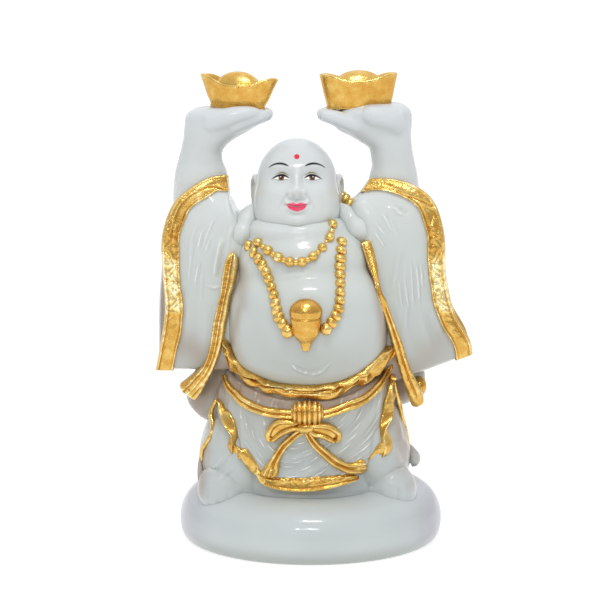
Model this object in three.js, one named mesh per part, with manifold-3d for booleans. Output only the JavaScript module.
// A standing laughing-monk figurine, cast in one piece with its round base: both arms are raised,
// and each palm carries a boat-shaped ingot. Millimetres, +Z up, the figure faces -Y.
// The origin is the centre of the flat underside.
import * as THREE from "three";
import { mergeVertices } from "three/addons/utils/BufferGeometryUtils.js";
import Module from "manifold-3d";

const wasm = await Module();
wasm.setup();

// Base: a thick disc with a fully rounded rim.
const BASE_RADIUS = 42.2;
const BASE_HEIGHT = 17;
const BASE_WIDEST_Z = 5.5;
const BASE_TOP_FLAT_RADIUS = 28;
const BASE_FOOT_RADIUS = 39.2;

// The head is set to the figure's right of the base's axis, and leans back.
const HEAD_CENTRE = [-4.5, -6.5, 113.4];
const HEAD_LEAN_BACK_DEG = 10;

const BEAD_RADIUS = 1.5;
const BEAD_PITCH = 2.9;

const TAU = 2 * Math.PI;
const MIN_EDGE = 1e-4;

// Turns a closed geometry into a solid whose faces point outwards.
function solidFrom(geometry) {
  const bare = geometry.clone();
  bare.deleteAttribute("normal");
  bare.deleteAttribute("uv");
  const merged = mergeVertices(bare, MIN_EDGE);
  const position = merged.getAttribute("position").array;
  const corners = [];
  for (let i = 0; i < merged.index.count; i += 3) {
    const [a, b, c] = merged.index.array.subarray(i, i + 3);
    if (a !== b && b !== c && c !== a) corners.push([a, b, c]);
  }
  const vertex = (i) => new THREE.Vector3().fromArray(position, 3 * i);
  const volume = corners.reduce(
    (sum, [a, b, c]) => sum + vertex(a).dot(vertex(b).cross(vertex(c))),
    0,
  );
  const facing = volume < 0 ? corners.map(([a, b, c]) => [a, c, b]) : corners;
  return new wasm.Manifold(
    new wasm.Mesh({
      numProp: 3,
      vertProperties: new Float32Array(position),
      triVerts: new Uint32Array(facing.flat()),
    }),
  );
}

function geometryOf(solid) {
  const mesh = solid.getMesh();
  const geometry = new THREE.BufferGeometry();
  geometry.setAttribute("position", new THREE.BufferAttribute(mesh.vertProperties, 3));
  geometry.setIndex(new THREE.BufferAttribute(mesh.triVerts, 1));
  return geometry;
}

const joined = (solids) => solids.reduce((whole, piece) => whole.add(piece));

// A closed skin over a row of rings with equal numbers of points, each end closed by a fan.
function skin(rings) {
  const sides = rings[0].length;
  const middle = (ring) =>
    ring.reduce((sum, p) => sum.add(p), new THREE.Vector3()).divideScalar(sides);
  const points = [...rings.flat(), middle(rings[0]), middle(rings.at(-1))];
  const first = points.length - 2;
  const last = points.length - 1;
  const faces = [];
  for (let i = 0; i < sides; i++) {
    const next = (i + 1) % sides;
    faces.push(first, next, i);
    for (let r = 0; r < rings.length - 1; r++) {
      const here = r * sides;
      const there = here + sides;
      faces.push(here + i, here + next, there + next, here + i, there + next, there + i);
    }
    const end = (rings.length - 1) * sides;
    faces.push(last, end + i, end + next);
  }
  const geometry = new THREE.BufferGeometry().setFromPoints(points);
  geometry.setIndex(faces);
  return geometry;
}

// Smooth value of a table at a key: each row is [key, value, value, ...], with keys rising.
function rowAt(rows, key) {
  const last = rows.length - 1;
  const k = THREE.MathUtils.clamp(key, rows[0][0], rows[last][0]);
  let i = 0;
  while (i < last - 1 && k > rows[i + 1][0]) i++;
  const slope = (j, c) => {
    const a = rows[Math.max(j - 1, 0)];
    const b = rows[Math.min(j + 1, last)];
    return (b[c] - a[c]) / (b[0] - a[0]);
  };
  const [p, q] = [rows[i], rows[i + 1]];
  const span = q[0] - p[0];
  const t = (k - p[0]) / span;
  return p.map((_, c) => {
    const [m, n] = [slope(i, c) * span, slope(i + 1, c) * span];
    const cubic = 2 * p[c] + m - 2 * q[c] + n;
    return p[c] + t * (m + t * (3 * (q[c] - p[c]) - 2 * m - n + t * cubic));
  });
}

// A level outline: a superellipse with its own depth in front of and behind its centre. A gather
// above 0 sets its points closer together in front.
function outline(sides, { x, y = 0, z, halfWidth, front, back, power = 2, gather = 0, relief }) {
  return Array.from({ length: sides }, (_, i) => {
    const even = (TAU * (i + 0.5)) / sides;
    const angle = even - gather * Math.cos(even);
    const [c, s] = [Math.cos(angle), Math.sin(angle)];
    const raised = relief ? relief(c, s, z) : 0;
    const grow = 1 + raised / Math.hypot(halfWidth * c, (s < 0 ? front : back) * s);
    const bend = (v) => Math.sign(v) * Math.abs(v) ** (2 / power);
    return new THREE.Vector3(
      x + grow * halfWidth * bend(c),
      y + grow * (s < 0 ? front : back) * bend(s),
      z,
    );
  });
}

// A form stacked from level outlines. Rows are [z, x, halfWidth, front, back].
function stacked(rows, { sides, ...shape }) {
  const rings = rows.map(([z, x, halfWidth, front, back]) =>
    outline(sides, { x, z, halfWidth, front, back, ...shape }),
  );
  return solidFrom(skin(rings));
}

function ellipsoid([x, y, z], [rx, ry, rz], sides, steps) {
  const ball = new THREE.SphereGeometry(1, sides, steps);
  ball.rotateX(Math.PI / 2).scale(rx, ry, rz).translate(x, y, z);
  return solidFrom(ball);
}

// A round limb through points, each [x, y, z, radius].
function limb(points, sides, steps) {
  const path = new THREE.CatmullRomCurve3(points.map(([x, y, z]) => new THREE.Vector3(x, y, z)));
  const radii = points.map((p, i) => [i / (points.length - 1), p[3]]);
  const frames = path.computeFrenetFrames(steps, false);
  const rings = Array.from({ length: steps + 1 }, (_, i) => {
    const centre = path.getPoint(i / steps);
    const radius = rowAt(radii, i / steps)[1];
    return Array.from({ length: sides }, (_, k) => {
      const angle = (TAU * k) / sides;
      return centre
        .clone()
        .addScaledVector(frames.normals[i], radius * Math.cos(angle))
        .addScaledVector(frames.binormals[i], radius * Math.sin(angle));
    });
  });
  return solidFrom(skin(rings));
}

// Base: rim from two quarter ellipses, a low one to the foot and a high one to the flat top.
function base() {
  const arc = (x, rx, ry, from, to, n) =>
    Array.from({ length: n + 1 }, (_, i) => {
      const angle = THREE.MathUtils.lerp(from, to, i / n);
      return new THREE.Vector2(x + rx * Math.cos(angle), BASE_WIDEST_Z + ry * Math.sin(angle));
    });
  const rise = BASE_HEIGHT - BASE_WIDEST_Z;
  const profile = [
    new THREE.Vector2(0, 0),
    ...arc(BASE_FOOT_RADIUS, BASE_RADIUS - BASE_FOOT_RADIUS, BASE_WIDEST_Z, -TAU / 4, 0, 2),
    ...arc(BASE_TOP_FLAT_RADIUS, BASE_RADIUS - BASE_TOP_FLAT_RADIUS, rise, 0, TAU / 4, 4).slice(1),
    new THREE.Vector2(0, BASE_HEIGHT),
  ];
  return solidFrom(new THREE.LatheGeometry(profile, 32).rotateX(Math.PI / 2));
}

// Skirt under the apron. Rows are [z, x, halfWidth, front, back].
const SKIRT = [
  [13, -0.8, 31, 22.4, 24],
  [20, -0.8, 32.2, 24, 25.5],
  [28, -1, 31.6, 25.6, 25.5],
  [36, -1, 30.2, 27, 24.6],
  [46, -1, 28.8, 28.4, 24],
  [54, -1, 28, 28.4, 23.6],
  [62, -1, 25, 26, 22],
];
const SKIRT_POWER = 2.3;

function skirt() {
  const relief = (c, s) => (s > 0.15 ? 0.9 * Math.cos(12 * Math.atan2(s, c)) : 0);
  return stacked(SKIRT, { sides: 30, power: SKIRT_POWER, relief });
}

// The apron hangs in front of the skirt. Each row is one fold: [top x, top z, hem x, hem z], and
// the folds stand out and lie back in turn.
const APRON_FOLDS = [
  [-26.8, 58, -28, 47],
  [-26, 57.4, -26.6, 40.6],
  [-25, 56.6, -24.6, 36],
  [-23.4, 55.4, -25.6, 31],
  [-20.8, 54.2, -22.4, 30.6],
  [-17.6, 53, -18.4, 26],
  [-14, 52, -14.4, 24.4],
  [-10, 51.2, -10, 22],
  [-5.4, 50.8, -5, 21.8],
  [-0.6, 50.6, 0, 20.6],
  [4.2, 50.8, 5.2, 21.6],
  [8.6, 51.4, 10.6, 22.8],
  [12.6, 52.4, 15, 26.6],
  [16.4, 53.8, 18.4, 28.6],
  [19.8, 55.4, 22, 30.8],
  [22.6, 57, 24.8, 35],
  [24, 58.2, 23.2, 40.4],
  [24.8, 59.4, 24.6, 47],
  [25.4, 60.4, 25.6, 53],
];
// Section of a fold: [share of the way down, distance in front of the skirt].
const APRON_SECTION = [
  [0, -3],
  [0.06, 0.8],
  [0.3, 1.1],
  [0.55, 1.3],
  [0.78, 1.6],
  [0.9, 1.8],
  [0.915, 2.9],
  [1, 2.6],
  [1.005, 0.6],
  [0.96, -3],
];

function skirtFront(x, z) {
  const [, middle, halfWidth, front] = rowAt(SKIRT, z);
  const across = Math.min(Math.abs(x - middle) / halfWidth, 0.995);
  return -front * (1 - across ** SKIRT_POWER) ** (1 / SKIRT_POWER);
}

function apron() {
  const foldDepth = 0.55;
  const rings = APRON_FOLDS.map(([topX, topZ, hemX, hemZ], i) =>
    APRON_SECTION.map(([down, out]) => {
      const x = THREE.MathUtils.lerp(topX, hemX, down);
      const z = THREE.MathUtils.lerp(topZ, hemZ, down);
      const fold = out > 0 ? foldDepth * (i % 2 ? 1 : -1) : 0;
      const away = new THREE.Vector2((x + 1) / 29, skirtFront(x, z) / 28).normalize();
      return new THREE.Vector3(x + (out + fold) * away.x, skirtFront(x, z) + (out + fold) * away.y, z);
    }),
  );
  return solidFrom(skin(rings));
}

function legs() {
  const side = (x, lean) => [
    ellipsoid([x, -6.8, 29], [11, 17, 15], 10, 6),
    ellipsoid([x + lean, -19.5, 19.6], [8.4, 7.6, 4.4], 8, 5),
  ];
  return [...side(-23.8, -1.4), ...side(21.8, 1.5)];
}

function trunk() {
  return [
    ellipsoid([-0.8, -9.4, 71.5], [25.8, 26, 20.4], 20, 12),
    ellipsoid([-2.6, -6.5, 89.5], [21.4, 21.5, 15], 16, 8),
    ellipsoid([-4.2, 1, 99], [25, 15, 9], 12, 6),
  ];
}

// The open robe behind the belly, from its hem to the shoulders. Its hem is lower on one side.
function robe() {
  const rows = [
    [41, -1, 33.4, 11, 25.5],
    [43, -1, 36, 12, 26.5],
    [48, -2, 38.2, 12.5, 27],
    [54, -1, 36.5, 13, 26.8],
    [64, -1, 31.5, 14, 26],
    [80, -2, 29, 13, 24.5],
    [94, -3.5, 27, 12, 21],
    [102, -4, 22, 10, 16],
    [106, -4.3, 14, 7, 11],
  ];
  const relief = (c, s) => (s > -0.1 ? 0.9 * Math.cos(17 * Math.atan2(s, c)) : 0);
  const plain = geometryOf(stacked(rows, { sides: 30, power: 2.2, relief }));
  const spot = plain.getAttribute("position");
  for (let i = 0; i < spot.count; i++) {
    const lift = THREE.MathUtils.smoothstep(60 - spot.getZ(i), 0, 16);
    spot.setZ(i, spot.getZ(i) + 0.09 * spot.getX(i) * lift);
  }
  return solidFrom(plain);
}

// A wide sleeve seen from the front: the edge runs from the wrist round to the tip, the roots lie
// in the body. Rows are [share of the way, edge x, edge z, root x, root z, thickness].
const LEFT_SLEEVE = [
  [0, -26.2, 118.4, -25.4, 108, 0.6],
  [0.1, -32.2, 117.3, -23.5, 105, 0.72],
  [0.2, -37.6, 114.3, -21.5, 102, 0.8],
  [0.32, -42.6, 108.8, -19.5, 97, 0.86],
  [0.45, -46.2, 99.5, -18.5, 90, 0.92],
  [0.6, -47.2, 87, -18, 82, 0.96],
  [0.75, -47.8, 75, -18.5, 73, 1],
  [0.92, -48.7, 60, -20.6, 61, 0.96],
  [1, -49, 55, -22, 57, 0.82],
];
const RIGHT_SLEEVE = [
  [0, 17.6, 116.4, 17.8, 107, 0.6],
  [0.1, 24.6, 117.2, 15.8, 104, 0.72],
  [0.2, 31.6, 115.4, 14.2, 101, 0.8],
  [0.32, 38, 110, 13.2, 97, 0.86],
  [0.45, 41.6, 101, 13, 90, 0.92],
  [0.6, 42, 87.5, 14, 82, 0.96],
  [0.75, 44.4, 75.5, 16, 73, 1],
  [0.92, 49.4, 64.6, 19.6, 60.4, 0.96],
  [1, 50.6, 58.6, 21, 53.4, 0.82],
];
// Section of a sleeve: [share of the way from edge to root, depth]. The edge is an open cuff, a
// channel between a front lip and a back lip.
const SLEEVE_SECTION = [
  [0.09, 0],
  [0, -7.4],
  [0.01, -11],
  [0.17, -12.2],
  [0.19, -11],
  [0.32, -12.4],
  [0.45, -13.4],
  [0.6, -14.4],
  [0.76, -15.4],
  [1, -12],
  [1, 14],
  [0.75, 17],
  [0.6, 16],
  [0.45, 15],
  [0.3, 14],
  [0.19, 12.8],
  [0.17, 14],
  [0.01, 12.8],
  [0, 8.6],
];

function sleeve(rows, steps) {
  const foldDepth = 0.8;
  const rings = Array.from({ length: steps + 1 }, (_, i) => {
    const [t, edgeX, edgeZ, rootX, rootZ, thickness] = rowAt(rows, i / steps);
    return SLEEVE_SECTION.map(([s, depth], k) => {
      const fold = s > 0.25 && s < 0.8 ? foldDepth * (k % 2 ? 1 : -1) * Math.sin(Math.PI * t) : 0;
      return new THREE.Vector3(
        THREE.MathUtils.lerp(edgeX, rootX, s),
        thickness * (depth + fold * Math.sign(depth)),
        THREE.MathUtils.lerp(edgeZ, rootZ, s),
      );
    });
  });
  return solidFrom(skin(rings));
}

// Raised forearm and hand. Rows are [z, inner x, outer x, half depth], the palm on top.
const LEFT_ARM = [
  [98, -30, -42, 7.5],
  [108, -28, -43, 8],
  [116, -27.3, -42.9, 7.6],
  [123, -28.8, -41.6, 6.4],
  [127.5, -26.2, -41, 6.8],
  [131, -19.6, -40.4, 7.8],
  [134.8, -13.6, -39.7, 8.6],
  [137, -12.6, -39, 8.4],
  [138.6, -15.5, -36.5, 7],
];
const RIGHT_ARM = [
  [98, 18, 33, 7.5],
  [108, 18, 33.6, 8],
  [116, 18.6, 33.4, 7.6],
  [123, 18.9, 32.6, 6.6],
  [127.5, 15.6, 31.8, 6.8],
  [131, 9, 32, 7.8],
  [134.8, 3.4, 32.2, 8.6],
  [137, 2.4, 31.8, 8.4],
  [138.6, 5.5, 29.5, 7],
];

function arm(rows) {
  const stackRows = rows.map(([z, inner, outer, depth]) => [
    z,
    (inner + outer) / 2,
    Math.abs(inner - outer) / 2,
    depth,
    depth,
  ]);
  const towards = Math.sign(rows[0][1] - rows[0][2]);
  const tip = rows.at(-2)[1];
  const fingers = [-5.4, -1.8, 1.8, 5.4].map((y) => {
    const reach = 0.6 - 0.05 * y * y;
    const at = (back, z, radius) => [tip + towards * (reach - back), y, z, radius];
    return limb([at(10, 135.6, 1.9), at(5, 136, 1.9), at(1.6, 136.5, 1.7), at(0, 136.8, 0.9)], 5, 3);
  });
  const thumbAt = (back, y, z, radius) => [tip - towards * back, y, z, radius];
  const thumb = limb(
    [
      thumbAt(21, -6, 129, 2.6),
      thumbAt(17, -8, 133, 2.7),
      thumbAt(13.5, -8.8, 137, 2.3),
      thumbAt(12, -8.6, 139.2, 1.1),
    ],
    6,
    4,
  );
  return [stacked(stackRows, { sides: 12, power: 2.2 }), ...fingers, thumb];
}

// A boat-shaped ingot: an oval cup whose ends sweep up, with a dome standing in its hollow.
function ingot({ x, z, halfLength, footHalf, rise }) {
  const sides = 16;
  const wall = (share, top) =>
    Array.from({ length: sides }, (_, i) => {
      const angle = (TAU * i) / sides;
      const c = Math.cos(angle);
      const reach = THREE.MathUtils.lerp(footHalf, halfLength, share);
      const depth = THREE.MathUtils.lerp(5, 6.8, share);
      const sweep = top * (0.8 + 0.2 * c * c);
      return new THREE.Vector3(x + reach * c, -0.5 + depth * Math.sin(angle), z + rise * sweep);
    });
  const hollow = (share, top) =>
    wall(share, top).map((p) => p.setZ(Math.min(p.z, z + rise * top)));
  const cup = skin([wall(0, 0), wall(0.42, 0.5), wall(1, 1), wall(0.86, 0.98), hollow(0.2, 0.6)]);
  return [
    solidFrom(cup),
    ellipsoid([x, -0.5, z + 0.6 * rise], [0.62 * halfLength, 5, 0.5 * rise], 12, 7),
  ];
}

// Head in its own frame, the face towards -Y, h measured up from the chin. Rows are
// [h, x, halfWidth, front, back].
function head() {
  const rows = [
    [-15.4, 0, 5, 5, 4],
    [-13.6, 0, 10.2, 11.5, 10],
    [-11, 0, 12.4, 14.2, 12.6],
    [-8.6, 0, 13.3, 15, 13.6],
    [-7.2, 0, 13.5, 15.2, 14],
    [-5.6, 0, 13.5, 15.2, 14.4],
    [-3.4, 0, 13.4, 15.1, 14.8],
    [-1, 0, 13.1, 14.8, 15.1],
    [1.2, 0, 12.9, 14.5, 15.2],
    [3.4, 0, 12.6, 14.3, 15.1],
    [5.4, 0, 12.1, 14.1, 14.9],
    [9.4, 0, 10.6, 12.6, 13.2],
    [13.6, 0, 7, 8.8, 9.2],
    [15.6, 0, 3, 4, 4],
  ];
  const bump = (x, z, wide, tall) => Math.exp(-((x / wide) ** 2) - (z / tall) ** 2);
  const relief = (c, s, z) => {
    if (s > 0) return 0;
    const x = 13 * c;
    const side = Math.abs(x);
    const nose = 2 * bump(x, z + 1.4, 1.9, 1.5) + 1.1 * bump(x, z - 1.6, 1.3, 2.8);
    const brows = 0.5 * bump(side - 4.6, z - 5.6, 3.4, 1.2);
    const sockets = -1 * bump(side - 4.6, z - 3.2, 2.4, 1.5);
    const cheeks = 0.8 * bump(side - 6.4, z + 2.8, 2.8, 2.8);
    const lips = 0.9 * bump(x, z + 5.6, 3.2, 0.8) + 0.9 * bump(x, z + 8.4, 2.6, 0.8);
    const mouth = -0.5 * bump(x, z + 7.1, 3.6, 0.7);
    const chin = 1 * bump(x, z + 11, 3.4, 1.6);
    return nose + brows + sockets + cheeks + lips + mouth + chin;
  };
  const [x, y, z] = HEAD_CENTRE;
  const plain = geometryOf(stacked(rows, { sides: 26, power: 2.1, gather: 0.5, relief }));
  plain.rotateX(THREE.MathUtils.degToRad(-HEAD_LEAN_BACK_DEG)).translate(x, y, z);
  return solidFrom(plain);
}

// Long ears whose heavy lobes rest on the shoulders.
function ears() {
  const left = [
    [-16.6, -4, 118, 1.2],
    [-18.6, -5, 113.5, 2.1],
    [-19.2, -7, 107, 2],
    [-20.6, -10, 102.4, 3],
    [-21.4, -11.5, 99.6, 2.6],
  ];
  const right = [
    [7.4, -4, 118.5, 1.2],
    [9.6, -5, 114, 2.1],
    [10.6, -7, 108, 2],
    [13.2, -10, 103.6, 3],
    [14.6, -11.5, 100.8, 2.6],
  ];
  const lobes = [
    ellipsoid([-21.2, -10.8, 100.4], [4.3, 5.4, 4.2], 8, 5),
    ellipsoid([14.6, -10.8, 101.4], [4.3, 5.4, 4.4], 8, 5),
  ];
  return [limb(left, 6, 4), limb(right, 6, 4), ...lobes];
}

// Finds where a level line along Y, from the front (-1) or the back (+1), meets the cast.
function surfaceFinder(solid) {
  const mesh = new THREE.Mesh(geometryOf(solid), new THREE.MeshBasicMaterial());
  mesh.material.side = THREE.DoubleSide;
  const ray = new THREE.Raycaster();
  return (x, z, side = -1) => {
    ray.set(new THREE.Vector3(x, 90 * side, z), new THREE.Vector3(0, -side, 0));
    return ray.intersectObject(mesh)[0]?.point;
  };
}

// A raised band laid on the cast. Points are [x, z, half width], seen from the front or back.
function band(find, points, { steps, side = -1, height = 0.7, sink = 1.6 }) {
  const curve = new THREE.CatmullRomCurve3(
    points.map(([x, z, half]) => new THREE.Vector3(x, half, z)),
    false,
    "catmullrom",
    0.5,
  );
  const laid = curve.getSpacedPoints(steps);
  const centres = laid.map((p) => find(p.x, p.z, side));
  const rings = centres.map((centre, i) => {
    const before = centres[Math.max(i - 1, 0)];
    const after = centres[Math.min(i + 1, steps)];
    const run = new THREE.Vector3().subVectors(after, before).setY(0).normalize();
    const across = new THREE.Vector3(-run.z, 0, run.x);
    const half = laid[i].y;
    const edge = (k) => {
      const p = centre.clone().addScaledVector(across, k * half);
      return find(p.x, p.z, side)?.y ?? centre.y;
    };
    const limit = 1.2 * half;
    const near = (y) => THREE.MathUtils.clamp(y, centre.y - limit, centre.y + limit);
    const [low, high] = [near(edge(-1)), near(edge(1))];
    const at = (k, y, out) =>
      centre.clone().addScaledVector(across, k * half).setY(y + side * out);
    return [
      at(-1, low, -sink),
      at(-0.7, (low + centre.y) / 2, height),
      at(0.7, (high + centre.y) / 2, height),
      at(1, high, -sink),
    ];
  });
  return solidFrom(skin(rings));
}

// Gilded relief seen from the front: points are [x, z, half width].
const FRONT_BANDS = {
  leftLapel: [
    [-23.6, 94.4, 1], [-24.4, 89, 1.7], [-25.6, 81.6, 1.9], [-28, 71.6, 2], [-30, 63.6, 2],
    [-33.4, 57, 2.6], [-37, 51.6, 3.8],
  ],
  rightLapel: [
    [17.2, 96.4, 1.6], [18.6, 91.6, 1.3], [20.4, 85, 0.9], [23.6, 76.4, 1.2], [27, 67, 1.5],
    [30.6, 57.4, 1.9], [33.8, 49.8, 2.4],
  ],
  waistRoll: [
    [-26.4, 58.6, 1.7], [-22, 56.6, 2.1], [-14, 52.6, 2.2], [-6, 50.6, 2.2], [3, 50.4, 2.2],
    [11, 52, 2.3], [19, 55, 2.3], [24.6, 58.6, 1.9],
  ],
  sash: [
    [-26.4, 52.6, 1.4], [-23.4, 49.6, 1.4], [-17, 46.6, 1.5], [-7, 44.4, 1.5], [3, 44.4, 1.5],
    [12, 46.4, 1.5], [19.6, 50, 1.4], [24.6, 54, 1.4],
  ],
  leftTail: [[-3.4, 41, 1.2], [-8, 35.4, 1.3], [-10.6, 29.6, 1.4], [-12.6, 25, 2]],
  rightTail: [[2, 39.6, 1.2], [6.4, 33.4, 1.4], [11.6, 28, 1.6], [16, 26.6, 2]],
};

// Gilded edges of the robe's fall beside the legs, as [x, y, z, radius].
const SIDE_EDGES = [
  [[-29.4, -10, 49, 1], [-30.6, -10, 43, 1.1], [-33.2, -9, 35, 1.1], [-34.2, -9, 26, 1.1], [-31.6, -10, 18, 1]],
  [[27.4, -10, 50, 1], [28.8, -10, 43, 1.1], [31.6, -9, 35, 1.1], [32.4, -9, 27, 1]],
];

function gildedBands(find) {
  const steps = { waistRoll: 12, sash: 12, leftTail: 5, rightTail: 5 };
  const height = { waistRoll: 2, sash: 1.6, leftTail: 1.7, rightTail: 1.7 };
  const bands = Object.entries(FRONT_BANDS).map(([name, points]) =>
    band(find, points, { steps: steps[name] ?? 8, height: height[name] ?? 1.2 }),
  );
  return [...bands, ...SIDE_EDGES.map((points) => limb(points, 5, 5))];
}

// The sash's knot, two bow loops under it, and the gourd-shaped pendant on the belly.
function knotAndPendant(find) {
  const knotY = find(-0.4, 45).y;
  const loopAt = ([x, z, radius]) => [x, find(x, z).y - 0.4, z, radius];
  const loops = [
    [[-3, 41, 1], [-7.6, 40.4, 1.7], [-11.2, 38, 2.1], [-13, 35.8, 1]],
    [[2.2, 41, 1], [5.6, 40, 1.7], [8, 37.6, 2.1], [8.8, 35.4, 1]],
  ].map((points) => limb(points.map(loopAt), 6, 4));
  const pendantY = find(-1.2, 74).y;
  const profile = [
    [0, -8.4], [1.5, -8], [1.6, -5.6], [3.6, -2.6], [4.7, 0.2], [4.9, 1.6], [4.3, 2.2],
    [5, 3], [4.8, 5.2], [3, 7], [0, 7.6],
  ].map(([r, h]) => new THREE.Vector2(r, h));
  const pendant = new THREE.LatheGeometry(profile, 10).rotateX(Math.PI / 2);
  pendant.translate(-1.2, pendantY - 0.8, 74.6);
  return [
    ellipsoid([-0.4, knotY - 0.4, 44.8], [4.8, 2.6, 3.2], 10, 6),
    ...loops,
    solidFrom(pendant),
  ];
}

// Two strands of one necklace, as points [x, z]. The long one carries the pendant.
const LONG_STRAND_LEFT = [[-20, 97.8], [-16.6, 94.6], [-14, 88], [-12.4, 82], [-9.6, 76.8], [-6.6, 75]];
const LONG_STRAND_RIGHT = [[9.8, 98.6], [10, 93], [9.8, 86], [9.4, 80.6], [7, 76.4], [4.6, 75]];
const SHORT_STRAND = [[-16.6, 97.8], [-12, 94.6], [-7, 92.8], [-2, 92.6], [2.8, 94.6], [7.4, 99.6]];

function beads(find) {
  const strand = (points) =>
    new THREE.CatmullRomCurve3(points.map(([x, z]) => new THREE.Vector3(x, 0, z)));
  const places = [LONG_STRAND_LEFT, LONG_STRAND_RIGHT, SHORT_STRAND].flatMap((points) => {
    const curve = strand(points);
    return curve.getSpacedPoints(Math.round(curve.getLength() / BEAD_PITCH));
  });
  return places.map(({ x, z }) => {
    const y = find(x, z).y - 0.35;
    return solidFrom(new THREE.OctahedronGeometry(1.2 * BEAD_RADIUS, 0).translate(x, y, z));
  });
}

function figurine() {
  const cast = joined([
    base(),
    skirt(),
    apron(),
    ...legs(),
    ...trunk(),
    robe(),
    sleeve(LEFT_SLEEVE, 10),
    sleeve(RIGHT_SLEEVE, 10),
    ...arm(LEFT_ARM),
    ...arm(RIGHT_ARM),
    head(),
    ...ears(),
  ]);
  const find = surfaceFinder(cast);
  const ingots = [
    ...ingot({ x: -22.6, z: 137.6, halfLength: 11.5, footHalf: 8.4, rise: 11.4 }),
    ...ingot({ x: 14.9, z: 137.8, halfLength: 12.2, footHalf: 9.8, rise: 11.2 }),
  ];
  const relief = [...gildedBands(find), ...knotAndPendant(find), ...beads(find)];
  return joined([cast, ...ingots, ...relief]);
}

const resin = new THREE.MeshStandardMaterial({ color: 0xd9ded8, roughness: 0.18, metalness: 0 });
const mesh = new THREE.Mesh(geometryOf(figurine()), resin);
mesh.name = "figurine";

const group = new THREE.Group();
group.add(mesh);

export default group;
